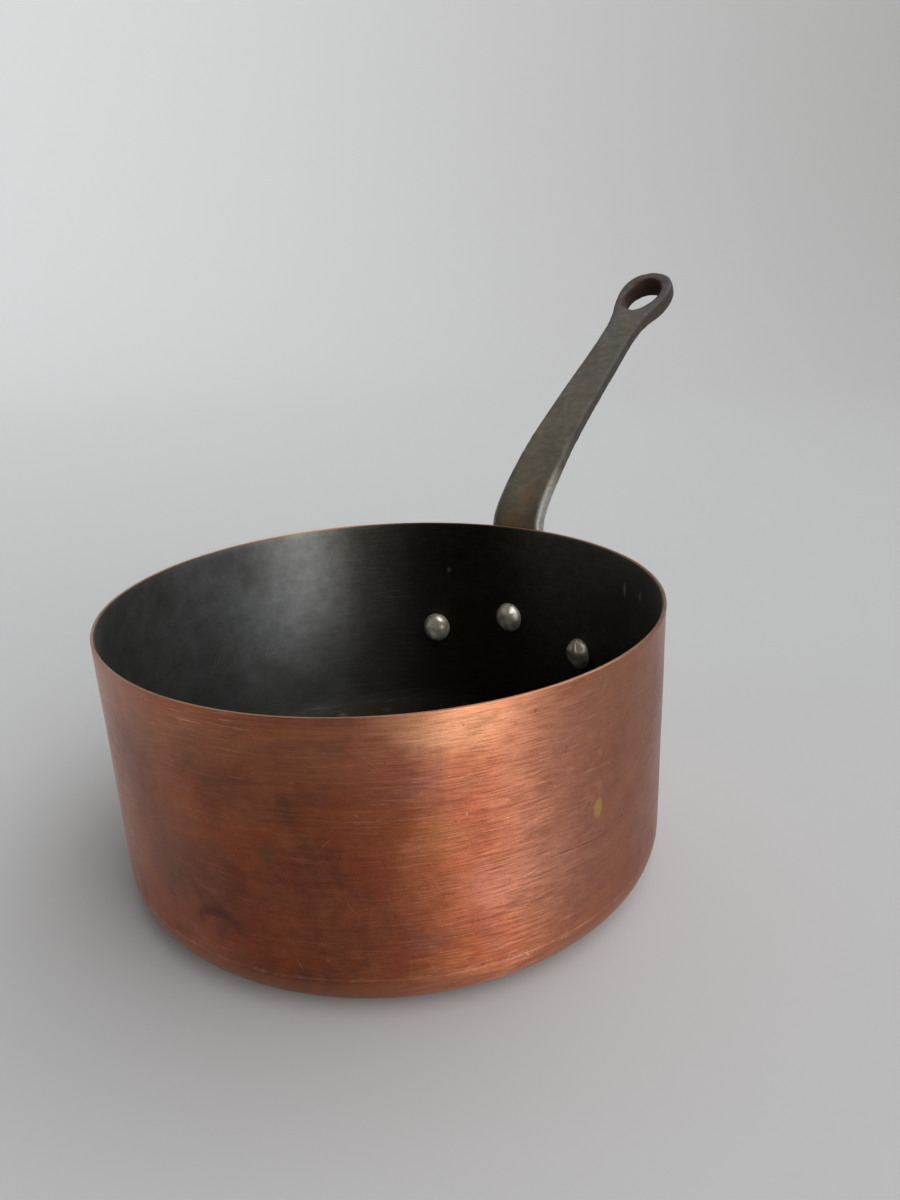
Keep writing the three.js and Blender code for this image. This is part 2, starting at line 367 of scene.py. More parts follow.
def rivet(node, name, seed):
    """A solid rivet: hammered dome inside, shank, low dome outside. Its heads follow the wall."""
    angle, height = rivet_axis(node)
    inner_seat = LINING_RADIUS - SEAT_CLEARANCE
    outer_seat = BODY_RADIUS + FLANGE_GAP + FLANGE_THICKNESS + SEAT_CLEARANCE
    profile = []
    for i in range(DOME_STEPS + 1):
        t = i / DOME_STEPS
        rise = (1 - t ** INNER_DOME[0]) ** (1 / INNER_DOME[1])
        profile.append((INNER_HEAD[0] * t, inner_seat - INNER_HEAD[1] * rise, "in"))
    profile.append((INNER_HEAD[0] * 0.93, inner_seat, "in"))
    profile.append((SHANK_RADIUS, inner_seat, "in"))
    profile.append((SHANK_RADIUS, outer_seat, "out"))
    profile.append((OUTER_HEAD[0] * 0.95, outer_seat, "out"))
    for i in range(DOME_STEPS + 1):
        t = 1 - i / DOME_STEPS
        rise = (1 - t ** OUTER_DOME[0]) ** (1 / OUTER_DOME[1])
        profile.append((OUTER_HEAD[0] * t, outer_seat + OUTER_HEAD[1] * rise, "out"))
    verts, faces = turn_profile([(r, x) for r, x, _ in profile], RIVET_SEGMENTS)
    sides = []
    for r, x, side in profile:
        sides += [side] * (1 if r < ON_AXIS else RIVET_SEGMENTS)
    blows = {"in": hammer_blows(seed, INNER_BLOWS), "out": hammer_blows(seed + 50, OUTER_BLOWS)}
    shaped = []
    for v, side in zip(verts, sides):
        across, up, out = v.x, v.y, v.z
        if side == "in":
            seat, size, way, tall = inner_seat, INNER_HEAD, -1, INNER_HEAD_STRETCH
        else:
            seat, size, way, tall = outer_seat, OUTER_HEAD, 1, 1.0
        stand = (out - seat) * way
        if stand > 0.02 * MM:
            unit = hammered(Vector((across / size[0], up / size[0], stand / size[1])), blows[side])
            across, up = unit.x * size[0], unit.y * size[0]
            lump = Vector((across, up, stand)) / RIVET_LUMP_SIZE + Vector((seed, 0, 0))
            lift = noise.noise(lump) * RIVET_LUMP_HEIGHT * min(1, stand / MM)
            stand = unit.z * size[1] + lift
            out = seat + max(0, stand) * way
        dip = seat - math.sqrt(max(0, seat**2 - across**2))
        shaped.append(Vector((out - dip, across * HEAD_WIDTH_SCALE, up * tall)))
    obj = add_object(name, place_radially(shaped, angle, height), faces, smooth_angle=50)
    smooth_over(obj, 5)
    apply_modifiers(obj)
    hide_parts(node)
    return obj


# Handle

def stem_section(thickness, upper, lower):
    """Half of the stem's section with rounded edges: inset from the side, depth below the top."""
    steps = 5
    angles = [math.pi / 2 * i / steps for i in range(steps + 1)]
    points = [(upper * (1 - math.sin(a)), upper * (1 - math.cos(a))) for a in angles]
    points += [(lower * (1 - math.cos(a)), thickness - lower * (1 - math.sin(a))) for a in angles]
    return points


def stem_mesh():
    """The stem and eye as one rounded bar along the spine."""
    stations = [EYE_CENTRE * i / STEM_STATIONS for i in range(STEM_STATIONS)]
    for i in range(EYE_STATIONS + 1):
        turn = math.pi / 2 * EYE_TURN * i / EYE_STATIONS
        stations.append(EYE_CENTRE + EYE_REACH * math.sin(turn))
    verts, faces = [], []
    for distance in stations:
        point, normal, _ = spine_at(distance)
        half = half_width_at(distance)
        sizes = [value_at(table, distance) for table in (THICKNESSES, UPPER_EDGES, LOWER_EDGES)]
        points = stem_section(*sizes)
        for side, order in ((1, points), (-1, reversed(points))):
            for inset, depth in order:
                across = side * max(LEAST_HALF_WIDTH, half - inset)
                verts.append((point - normal * depth + Vector((0, across, 0))) * MM)
    count = 2 * len(points)
    for ring in range(len(stations) - 1):
        for i in range(count):
            j = (i + 1) % count
            low, high = ring * count, (ring + 1) * count
            faces.append((low + j, low + i, high + i, high + j))
    faces.append(tuple(range(count)))
    faces.append(tuple(reversed(range((len(stations) - 1) * count, len(stations) * count))))
    return add_object("cast_handle", verts, faces)


def bezier(p0, p1, p2, p3, steps):
    """Points of a cubic curve, without its last one."""
    points = []
    for i in range(steps):
        t = i / steps
        u = 1 - t
        points.append(tuple(
            u**3 * a + 3 * u**2 * t * b + 3 * u * t**2 * c + t**3 * d
            for a, b, c, d in zip(p0, p1, p2, p3)
        ))
    return points


# The flange's edge on the unrolled wall, in mm
NECK_HALF_WIDTH = 9.4
NECK_TOP = 66
FLANGE_FOOT = 33.5
FLANGE_REACH = 44
EDGE_PULL = 11


def flange_outline():
    """Half of the flange's edge, from the stem's side down to the centre line, in mm."""
    wing = BODY_RADIUS / MM * abs(rivet_axis("rivet_left")[0])
    height = rivet_axis("rivet_left")[1] / MM
    lobe = WING_RADIUS / MM
    top, bottom = height + lobe, height - lobe
    points = bezier(
        (NECK_HALF_WIDTH, NECK_TOP), (NECK_HALF_WIDTH, NECK_TOP - EDGE_PULL),
        (wing - EDGE_PULL, top), (wing, top), 14,
    )
    points += arc((wing, height), lobe, 90, -90, 14)
    points += bezier(
        (wing, bottom), (wing - EDGE_PULL, bottom), (EDGE_PULL, FLANGE_FOOT), (0, FLANGE_FOOT), 12,
    )[1:]
    return points


def flange_mesh():
    """The curved plate against the wall: its unrolled outline, laid round the body."""
    right = flange_outline()
    left = [(-x, z) for x, z in reversed(right)]
    outline = right + [(0, FLANGE_FOOT)] + left
    inner = BODY_RADIUS + FLANGE_GAP
    outer = inner + FLANGE_THICKNESS
    flat = bmesh.new()
    ring = [flat.verts.new((x * MM, z * MM, 0)) for x, z in outline]
    flat.faces.new(ring)
    bmesh.ops.triangulate(flat, faces=flat.faces[:])
    for cut in range(-FLANGE_REACH, FLANGE_REACH + 1, 2):
        bmesh.ops.bisect_plane(
            flat, geom=flat.verts[:] + flat.edges[:] + flat.faces[:],
            plane_co=(cut * MM, 0, 0), plane_no=(1, 0, 0),
        )
    extruded = bmesh.ops.extrude_face_region(flat, geom=flat.faces[:])
    raised = {v for v in extruded["geom"] if isinstance(v, bmesh.types.BMVert)}
    for v in flat.verts:
        angle = v.co.x / BODY_RADIUS
        radius = outer if v in raised else inner
        v.co = Vector((radius * math.cos(angle), radius * math.sin(angle), v.co.y))
    bmesh.ops.recalc_face_normals(flat, faces=flat.faces[:])
    mesh = bpy.data.meshes.new("flange")
    flat.to_mesh(mesh)
    flat.free()
    obj = bpy.data.objects.new("flange", mesh)
    bpy.context.scene.collection.objects.link(obj)
    return obj


def hanging_hole_cutter():
    """An oval bar that flares at the eye's two faces, so that the hole's edges come out rounded."""
    point, normal, slope = spine_at(HOLE_CENTRE)
    along = Vector((math.cos(slope), 0, math.sin(slope)))
    depth = value_at(THICKNESSES, HOLE_CENTRE)
    lower = ((-8, 2.2), (-0.3, 1.25), (0.2, 0.8), (0.8, 0.35), (1.7, 0.05))
    upper = ((-1.7, 0.05), (-0.8, 0.35), (-0.2, 0.8), (0.3, 1.25), (4, 2.2))
    levels = [(lift - depth, flare) for lift, flare in lower] + list(upper)
    count = 64
    verts, faces = [], []
    for lift, flare in levels:
        for i in range(count):
            angle = 2 * math.pi * i / count
            taper = 1 + HOLE_TAPER * math.cos(angle)
            across = (HOLE_HALF_WIDTH + flare) * math.sin(angle) * taper
            reach = (HOLE_HALF_LENGTH + flare) * math.cos(angle)
            verts.append((point + along * reach + Vector((0, across, 0)) + normal * lift) * MM)
    for ring in range(len(levels) - 1):
        for i in range(count):
            j = (i + 1) % count
            low, high = ring * count, (ring + 1) * count
            faces.append((low + i, low + j, high + j, high + i))
    faces.append(tuple(reversed(range(count))))
    faces.append(tuple(range((len(levels) - 1) * count, len(levels) * count)))
    return add_object("cutter", verts, faces)


def remesh(obj, voxel, smoothing):
    """Melts a mesh into one even skin."""
    modifier = obj.modifiers.new("remesh", "REMESH")
    modifier.mode = "VOXEL"
    modifier.voxel_size = voxel
    modifier.use_smooth_shade = True
    smooth_over(obj, smoothing)
    apply_modifiers(obj)


# The casting's skin: the size of each kind of lump in mm, where its noise starts, its height in mm
CASTING_VOXEL = 0.55 * MM
CASTING_LUMPS = ((9, (0, 0, 0), 0.09), (3.2, (7, 0, 0), 0.09), (1.3, (0, 5, 0), 0.035))


def cast_surface(obj):
    """Lumps and pits of a sand casting, pushed along the normals."""
    mesh = obj.data
    normals = [v.normal.copy() for v in mesh.vertices]
    for v, normal in zip(mesh.vertices, normals):
        lift = 0
        for size, start, tall in CASTING_LUMPS:
            lift += noise.noise(v.co / (size * MM) + Vector(start)) * tall
        v.co += normal * lift * MM


def handle_casting():
    """The handle as one casting: stem and flange joined, drilled, and given a cast skin."""
    stem = stem_mesh()
    flange = flange_mesh()
    combine(stem, flange, "UNION")
    for node in RIVETS:
        combine(stem, rivet_hole_cutter(node), "DIFFERENCE")
    combine(stem, hanging_hole_cutter(), "DIFFERENCE")
    remesh(stem, CASTING_VOXEL, 4)
    cast_surface(stem)
    make_smooth(stem, 60)
    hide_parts("handle")
    return stem


# Materials

class Nodes:
    """A short way to write a material's node tree."""

    def __init__(self, name):
        self.material = bpy.data.materials.new(name)
        self.material.use_nodes = True
        self.tree = self.material.node_tree
        self.tree.nodes.clear()
        self.shader = self.add("ShaderNodeBsdfPrincipled")
        self.add("ShaderNodeOutputMaterial", {"Surface": self.shader.outputs[0]})
        self.object = self.add("ShaderNodeTexCoord").outputs["Object"]
        self.places = ()
        self.flat = None

    def feed(self, node, socket, value):
        """Links a socket to another one, or sets its value."""
        if isinstance(value, bpy.types.NodeSocket):
            self.tree.links.new(value, node.inputs[socket])
        else:
            node.inputs[socket].default_value = value

    def add(self, kind, inputs=(), **settings):
        """A new node, with its settings made and its sockets linked or set."""
        node = self.tree.nodes.new(kind)
        for name, value in settings.items():
            setattr(node, name, value)
        for socket, value in dict(inputs).items():
            self.feed(node, socket, value)
        return node

    def set(self, socket, value):
        """Sets or links a socket of the material's shader."""
        self.feed(self.shader, socket, value)

    def math(self, operation, *values):
        return self.add("ShaderNodeMath", enumerate(values), operation=operation).outputs[0]

    def times(self, a, b):
        return self.math("MULTIPLY", a, b)

    def vector_math(self, operation, *values):
        return self.add("ShaderNodeVectorMath", enumerate(values), operation=operation)

    def noise(self, vector, scale, detail=3.0, roughness=0.55, distortion=0.0):
        return self.add("ShaderNodeTexNoise", {
            "Vector": vector, "Scale": scale, "Detail": detail,
            "Roughness": roughness, "Distortion": distortion,
        }).outputs["Fac"]

    def ramp(self, factor, start, end, low=0.0, high=1.0):
        """A smooth step from low at start to high at end, where start may be the larger one."""
        return self.add("ShaderNodeMapRange", {
            "Value": factor, "From Min": start, "From Max": end, "To Min": low, "To Max": high,
        }, interpolation_type="SMOOTHSTEP").outputs["Result"]

    def band(self, height, rise, fall):
        """On between two heights, given as where it rises and where it falls, in mm."""
        below = self.ramp(height, rise[0] * MM, rise[1] * MM)
        above = self.ramp(height, fall[0] * MM, fall[1] * MM)
        return self.times(below, above)

    def mix(self, factor, a, b, blend="MIX"):
        """Mixes two colours, each a socket or three numbers. Sockets 6 and 7 are its colours."""
        inputs = {0: factor}
        for socket, value in ((6, a), (7, b)):
            inputs[socket] = value if isinstance(value, bpy.types.NodeSocket) else (*value, 1)
        return self.add("ShaderNodeMix", inputs, data_type="RGBA", blend_type=blend).outputs[2]

    def tint(self, colour, mask, strength, target):
        """Mixes a colour toward a target where the mask is on."""
        return self.mix(self.times(mask, strength), colour, target)

    def speckle(self, colour, vector, scale, detail, roughness, strength):
        """Darkens and lightens a colour by a noise whose middle value is 0.5."""
        grain = self.noise(vector, scale, detail, roughness)
        tone = self.math("MULTIPLY_ADD", grain, strength, 1 - strength / 2)
        return self.mix(1.0, colour, tone, "MULTIPLY")

    def combine_xyz(self, x, y, z):
        return self.add("ShaderNodeCombineXYZ", {"X": x, "Y": y, "Z": z}).outputs[0]

    def place(self):
        """X, Y, Z and the distance from the Z axis, as sockets."""
        if not self.places:
            x, y, z = self.add("ShaderNodeSeparateXYZ", {0: self.object}).outputs
            flat = self.math("ADD", self.times(x, x), self.times(y, y))
            self.places = (x, y, z, self.math("SQRT", flat))
        return self.places

    def moved(self, offset):
        """The object coordinates pushed aside, so that a second noise doesn't repeat the first."""
        return self.vector_math("ADD", self.object, offset).outputs[0]

    def unrolled(self):
        """The outer wall laid flat: round from the point opposite the handle, and height, in mm."""
        if not self.flat:
            x, y, z, _ = self.place()
            back_x, back_y = self.times(x, -1.0), self.times(y, -1.0)
            round_way = self.times(self.math("ARCTAN2", back_y, back_x), BODY_RADIUS / MM)
            self.flat = self.combine_xyz(round_way, self.times(z, 1 / MM), 0.0)
        return self.flat

    def ragged(self, vector, scale, amount):
        """A vector pushed about by noise, so that a mark's edge isn't a clean curve."""
        wobble = self.add("ShaderNodeTexNoise", {"Vector": vector, "Scale": scale, "Detail": 3.0})
        whole, half = (amount,) * 3, (amount / 2,) * 3
        push = self.vector_math("MULTIPLY_ADD", wobble.outputs["Color"], whole, vector)
        return self.vector_math("SUBTRACT", push.outputs[0], half).outputs[0]

    def oval(self, vector, middle, size, tilt=0.0):
        """Distance from an oval's middle on a flat plane, 1 on its edge. Sizes are full sizes."""
        placed = self.add("ShaderNodeMapping", {
            "Vector": vector, "Location": (*middle, 0), "Rotation": (0, 0, math.radians(tilt)),
            "Scale": (size[0] / 2, size[1] / 2, 1000),
        }, vector_type="TEXTURE")
        return self.vector_math("LENGTH", placed.outputs[0]).outputs["Value"]

    def cells(self, vector, scale):
        """Distance to the nearest scattered point, and that point's own random number."""
        node = self.add("ShaderNodeTexVoronoi", {"Vector": vector, "Scale": scale})
        split = self.add("ShaderNodeSeparateColor", {0: node.outputs["Color"]})
        return node.outputs["Distance"], split.outputs[0]

    def round_tangent(self):
        """The direction round the pan, in which its brushing spreads a highlight."""
        return self.add("ShaderNodeTangent", direction_type="RADIAL", axis="Z").outputs[0]

    def bump(self, height, distance, strength):
        inputs = {"Strength": strength, "Distance": distance, "Height": height}
        return self.add("ShaderNodeBump", inputs).outputs[0]


def brushed_along(nodes, around, across, detail=2.0, seed=0.0):
    """Noise stretched round the pan: around is the streaks' length, across their width, in mm.
    It runs up the wall and, on the base, out from the centre, so it has no seam."""
    x, y, z, radius = nodes.place()
    turn = BODY_RADIUS / MM / around
    reach = nodes.math("DIVIDE", turn, radius)
    along_profile = nodes.math("SUBTRACT", z, radius)
    level = nodes.math("MULTIPLY_ADD", along_profile, 1 / MM / across, seed)
    round_x, round_y = (nodes.times(value, reach) for value in (x, y))
    return nodes.noise(nodes.combine_xyz(round_x, round_y, level), 1.0, detail)


# Places on the walls are in millimetres: round from the point opposite the handle, and height.

# Bright specks on the lining: place, then full width and height
SPECKS = (((196, 67.7), (1.4, 5)), ((185, 68.8), (1.2, 4)), ((-226, 60.5), (2, 2)))

# Scratches on the outer wall: place, length, width, and tilt in degrees
PALE_SCRATCHES = (
    (2.1, 74.3, 2.0, 0.4, 0), (17.8, 74.6, 1.8, 0.35, 4), (20.0, 64.5, 1.3, 0.6, 0),
    (28.6, 63.0, 1.8, 0.4, 8), (46.0, 68.0, 9.0, 0.16, -42), (44.5, 70.5, 5.0, 0.16, -50),
    (40.0, 63.4, 24.0, 0.12, 0), (33.0, 74.0, 12.0, 0.12, -1), (44.0, 71.4, 16.0, 0.1, 0),
    (84.0, 58.8, 4.5, 0.3, 24), (82.0, 33.0, 6.0, 0.35, 18), (35.0, 48.0, 7.0, 0.14, 48),
    (57.0, 13.5, 5.0, 0.16, -62), (52.0, 13.8, 4.0, 0.16, 84), (26.0, 14.2, 4.0, 0.3, -68),
    (39.5, 31.5, 6.0, 0.14, -58), (95.0, 62.0, 8.0, 0.2, 20),
)
DARK_SCRATCHES = (
    (94.0, 34.4, 30.0, 0.32, -4.5), (84.0, 31.6, 14.0, 0.25, -3), (112.0, 35.0, 9.0, 0.3, -8),
)

# Dried drips one above the other: place, full width and height, and strength
DRIPS = (
    ((102.8, 42.0), (3.0, 5.2), 0.8), ((103.2, 48.2), (2.2, 2.6), 0.3),
    ((103.3, 57.2), (1.8, 2.2), 0.3), ((103.6, 61.5), (1.6, 1.8), 0.25),
    ((104.6, 74.2), (1.6, 2.0), 0.25),
)

CLEAN_COPPER = (0.86, 0.50, 0.33)
BARE_COPPER = (0.58, 0.295, 0.18)
WORN_COPPER = (0.6, 0.33, 0.23)
POLISHED_CORNER = (0.385, 0.148, 0.077)
CUT_EDGE = (0.30, 0.155, 0.088)
WARM_TARNISH = (0.352, 0.107, 0.044)
DEEP_TARNISH = (0.305, 0.071, 0.028)
PLUM_TARNISH = (0.216, 0.066, 0.042)
CRESCENT_BROWN = (0.10, 0.035, 0.026)
SCRATCH_BROWN = (0.11, 0.04, 0.03)
PIT_BROWN = (0.14, 0.05, 0.035)
SPOT_OLIVE = (0.16, 0.105, 0.055)
DRIP_AMBER = (0.52, 0.30, 0.10)

# Patches of heavier or lighter tarnish, and of painted highlight and painted sheen on the lit side:
# place, full width and height, colour and strength
DARK_BROWN = (0.155, 0.05, 0.034)
DARK_PLUM = (0.165, 0.06, 0.047)
OLIVE_BROWN = (0.20, 0.10, 0.045)
AMBER = (0.37, 0.14, 0.055)
PINK_COPPER = (0.56, 0.28, 0.19)
# Painted highlight: lighter orange copper laid where the window's highlight falls
ORANGE_PAINTED_HIGHLIGHT = (0.62, 0.29, 0.15)
# Partly less tarnished copper, partly painted sheen of the lit right side
PALE_COPPER_AND_SHEEN = (0.43, 0.19, 0.125)
PATCHES = (
    (-9, 35, 24, 28, DARK_PLUM, 0.6), (3, 31, 28, 18, DARK_BROWN, 0.6),
    (13, 58, 18, 9, DARK_BROWN, 0.6), (5, 66, 18, 14, OLIVE_BROWN, 0.3),
    (18, 53, 26, 11, AMBER, 0.35), (29, 59, 12, 8, DARK_BROWN, 0.45),
    (56, 60, 26, 7, DARK_PLUM, 0.38), (60, 47, 18, 12, AMBER, 0.3),
    (80, 33, 34, 12, PINK_COPPER, 0.22), (94, 23, 26, 13, DARK_PLUM, 0.35),
    (38, 20, 18, 10, DARK_BROWN, 0.3), (28, 34, 10, 14, DARK_BROWN, 0.35),
    # Painted highlight: the orange patch at the top of the wall
    (63, 74, 38, 10, ORANGE_PAINTED_HIGHLIGHT, 0.6), (-22, 52, 16, 22, DARK_PLUM, 0.4),
    # This line: a broad pale patch, partly less tarnished copper and partly painted sheen on the
    # lit right side, and a narrow painted highlight down the highlight band
    (94, 45, 48, 80, PALE_COPPER_AND_SHEEN, 0.6), (59, 42, 16, 62, ORANGE_PAINTED_HIGHLIGHT, 0.1),
    (-14, 64, 46, 24, DARK_BROWN, 0.4),
)


def scratches(nodes, marks):
    """One mask for a set of thin, tapering scratches."""
    flat = nodes.ragged(nodes.unrolled(), 0.25, 0.8)
    total = None
    for round_way, height, length, width, tilt in marks:
        distance = nodes.oval(flat, (round_way, height), (length, width), tilt)
        mark = nodes.ramp(distance, 1.5, 0.3)
        total = mark if total is None else nodes.math("MAXIMUM", total, mark)
    return total


def tarnish_and_highlight_patches(nodes, colour):
    """Soft, ragged patches, each mixed over the ones before it."""
    loose = nodes.ragged(nodes.unrolled(), 0.09, 15.0)
    for round_way, height, width, tall, tint, strength in PATCHES:
        distance = nodes.oval(loose, (round_way, height), (width, tall))
        mask = nodes.ramp(distance, 1.5, 0.2, 0.0, strength)
        colour = nodes.mix(mask, colour, tint)
    return colour


def copper_marks(nodes, colour):
    """Spots, drips, scratches and the wear line just above the corner."""
    z = nodes.place()[2]
    rough = nodes.ragged(nodes.unrolled(), 0.6, 1.2)

    # A crescent left by something round and wet, and an olive spot
    ring = nodes.oval(rough, (5.0, 18.0), (13, 12.5))
    crescent = nodes.times(nodes.ramp(ring, 0.66, 0.98), nodes.ramp(ring, 1.45, 1.02))
    crescent = nodes.times(crescent, nodes.ramp(z, 16 * MM, 24 * MM))
    colour = nodes.tint(colour, crescent, 0.7, CRESCENT_BROWN)
    olive = nodes.ramp(nodes.oval(rough, (20.9, 43.9), (4.6, 5.4)), 1.35, 0.4)
    colour = nodes.tint(colour, olive, 0.6, SPOT_OLIVE)
    for middle, size, strength in DRIPS:
        drip = nodes.ramp(nodes.oval(rough, middle, size), 1.25, 0.7)
        colour = nodes.tint(colour, drip, strength, DRIP_AMBER)

    # Pits and bright dots
    near, pick = nodes.cells(nodes.ragged(nodes.object, 900.0, 1.2 * MM), 520.0)
    pits = nodes.times(nodes.ramp(near, 0.24, 0.08), nodes.ramp(pick, 0.84, 0.88))
    colour = nodes.tint(colour, pits, 0.5, PIT_BROWN)
    loose = nodes.ragged(nodes.moved((0.4, 0.7, 0.3)), 700.0, 2.0 * MM)
    near, pick = nodes.cells(loose, 260.0)
    dots = nodes.times(nodes.ramp(near, 0.13, 0.05), nodes.ramp(pick, 0.9, 0.93))
    colour = nodes.tint(colour, dots, 0.3, CLEAN_COPPER)

    # Scratches, and hairlines broken up by a second noise
    colour = nodes.tint(colour, scratches(nodes, DARK_SCRATCHES), 0.65, SCRATCH_BROWN)
    colour = nodes.tint(colour, scratches(nodes, PALE_SCRATCHES), 0.2, CLEAN_COPPER)
    hair = brushed_along(nodes, 80.0, 1.8, 1.0, 130.0)
    hair = nodes.math("ABSOLUTE", nodes.math("SUBTRACT", hair, 0.5))
    broken = brushed_along(nodes, 25.0, 8.0, 3.0, 170.0)
    hair = nodes.times(nodes.ramp(hair, 0.012, 0.0), nodes.ramp(broken, 0.54, 0.66))
    hair = nodes.times(hair, nodes.ramp(z, 48 * MM, 68 * MM, 0.16, 0.38))
    colour = nodes.mix(hair, colour, CLEAN_COPPER)

    # The wear line just above the corner, with splashes of bare metal on it
    wave = nodes.noise(nodes.object, 40.0, 2.0)
    level = nodes.math("MULTIPLY_ADD", wave, 1.6 * MM, z)
    splash = nodes.noise(nodes.moved((0.1, 0.2, 0.7)), 420.0, 4.0, 0.6)
    near_line = nodes.band(level, (10.0, 11.4), (13.6, 11.6))
    splashes = nodes.times(near_line, nodes.ramp(splash, 0.56, 0.7))
    colour = nodes.tint(colour, splashes, 0.4, WORN_COPPER)
    wear_line = nodes.band(level, (10.9, 11.4), (12.1, 11.5))
    wear_line = nodes.times(wear_line, nodes.ramp(splash, 0.4, 0.6, 0.45, 1.0))
    return nodes.tint(colour, wear_line, 0.3, WORN_COPPER)


COPPER_COAT = 0.35


def copper_material():
    """Copper brushed round the pan, tarnished in clouds and patches, with patches of painted
    highlight and sheen on the lit side, polished at the corner.
    """
    nodes = Nodes("brushed_copper")
    z = nodes.place()[2]

    # Slow clouds of tarnish
    cloud = nodes.noise(nodes.object, 30.0, 5.0, 0.62, 0.5)
    patch = nodes.noise(nodes.object, 62.0, 5.0, 0.64, 0.5)
    tint = nodes.noise(nodes.moved((0.3, 0.1, 0.2)), 34.0, 4.0, 0.6, 0.3)
    colour = nodes.mix(nodes.ramp(cloud, 0.36, 0.64), WARM_TARNISH, DEEP_TARNISH)
    colour = nodes.mix(nodes.ramp(tint, 0.5, 0.72, 0.0, 0.45), colour, AMBER)
    colour = nodes.mix(nodes.ramp(patch, 0.5, 0.72, 0.0, 0.85), colour, PLUM_TARNISH)
    # Tarnish patches, with patches of painted highlight and painted sheen among them
    colour = tarnish_and_highlight_patches(nodes, colour)

    # Brushing round the pan
    fine = brushed_along(nodes, 6.0, 0.2, 3.0)
    coarse = brushed_along(nodes, 22.0, 0.9, 3.0, 40.0)
    bands = brushed_along(nodes, 60.0, 3.5, 2.0, 90.0)
    lines = nodes.times(nodes.ramp(fine, 0.48, 0.7), nodes.ramp(coarse, 0.38, 0.68, 0.5, 1.0))
    lines = nodes.times(lines, nodes.ramp(bands, 0.35, 0.65, 0.6, 1.0))
    dark = nodes.ramp(coarse, 0.62, 0.4, 0.6, 1.0)
    dark_lines = nodes.times(nodes.ramp(fine, 0.5, 0.3), dark)
    colour = nodes.tint(colour, lines, 0.36, BARE_COPPER)
    colour = nodes.tint(colour, dark_lines, 0.3, PLUM_TARNISH)
    colour = nodes.speckle(colour, nodes.object, 2200.0, 2.0, 0.6, 0.55)
    colour = nodes.speckle(colour, nodes.moved((0.1, 0.4, 0.2)), 420.0, 4.0, 0.65, 0.5)
    colour = nodes.speckle(colour, nodes.moved((0.6, 0.1, 0.5)), 110.0, 3.0, 0.6, 0.4)

    # The upper wall is lighter in broken streaks, and the corner is polished by the hob
    upper = nodes.times(nodes.ramp(z, 52 * MM, 77 * MM), nodes.ramp(fine, 0.4, 0.62, 0.35, 1.0))
    colour = nodes.tint(colour, upper, 0.3, BARE_COPPER)
    corner = nodes.ramp(z, 11.0 * MM, 8.5 * MM)
    colour = nodes.tint(colour, corner, 0.6, POLISHED_CORNER)
    colour = copper_marks(nodes, colour)
    edge = nodes.ramp(z, BODY_HEIGHT - 0.1 * MM, BODY_HEIGHT - 0.02 * MM)
    colour = nodes.tint(colour, edge, 0.9, CUT_EDGE)

    # Each streak spreads a highlight by its own amount
    nodes.set("Base Color", colour)
    nodes.set("Metallic", 1.0)
    streaks = nodes.ramp(fine, 0.35, 0.65, 0.27, 0.45)
    roughness = nodes.math("ADD", nodes.ramp(patch, 0.3, 0.75, 0.0, 0.1), streaks)
    nodes.set("Roughness", nodes.math("MULTIPLY_ADD", edge, -0.06, roughness))
    nodes.set("Coat Weight", nodes.math("MULTIPLY_ADD", edge, -COPPER_COAT, COPPER_COAT))
    nodes.set("Coat IOR", 1.25)
    nodes.set("Coat Roughness", 0.35)
    nodes.set("Anisotropic", nodes.ramp(coarse, 0.36, 0.64, 0.94, 0.84))
    nodes.set("Anisotropic Rotation", 0.25)
    nodes.set("Tangent", nodes.round_tangent())
    grain = nodes.math("ADD", fine, nodes.times(coarse, 0.3))
    nodes.set("Normal", nodes.bump(grain, 0.03 * MM, 0.5))
    return nodes.material


TIN_GREY = (0.166, 0.168, 0.162)
TIN_DARK = (0.122, 0.122, 0.112)
TIN_STAIN = (0.062, 0.052, 0.038)
TIN_SHADED = (0.03, 0.024, 0.014)
# Painted shade, with some stain, on the lower wall
TIN_LOWER_SHADE_AND_STAIN = (0.05, 0.047, 0.042)
TIN_BASE = (0.03, 0.025, 0.018)
TIN_BRUSHED = (0.19, 0.195, 0.19)
TIN_SPECK = (0.42, 0.42, 0.40)
TIN_EDGE = (0.15, 0.10, 0.075)


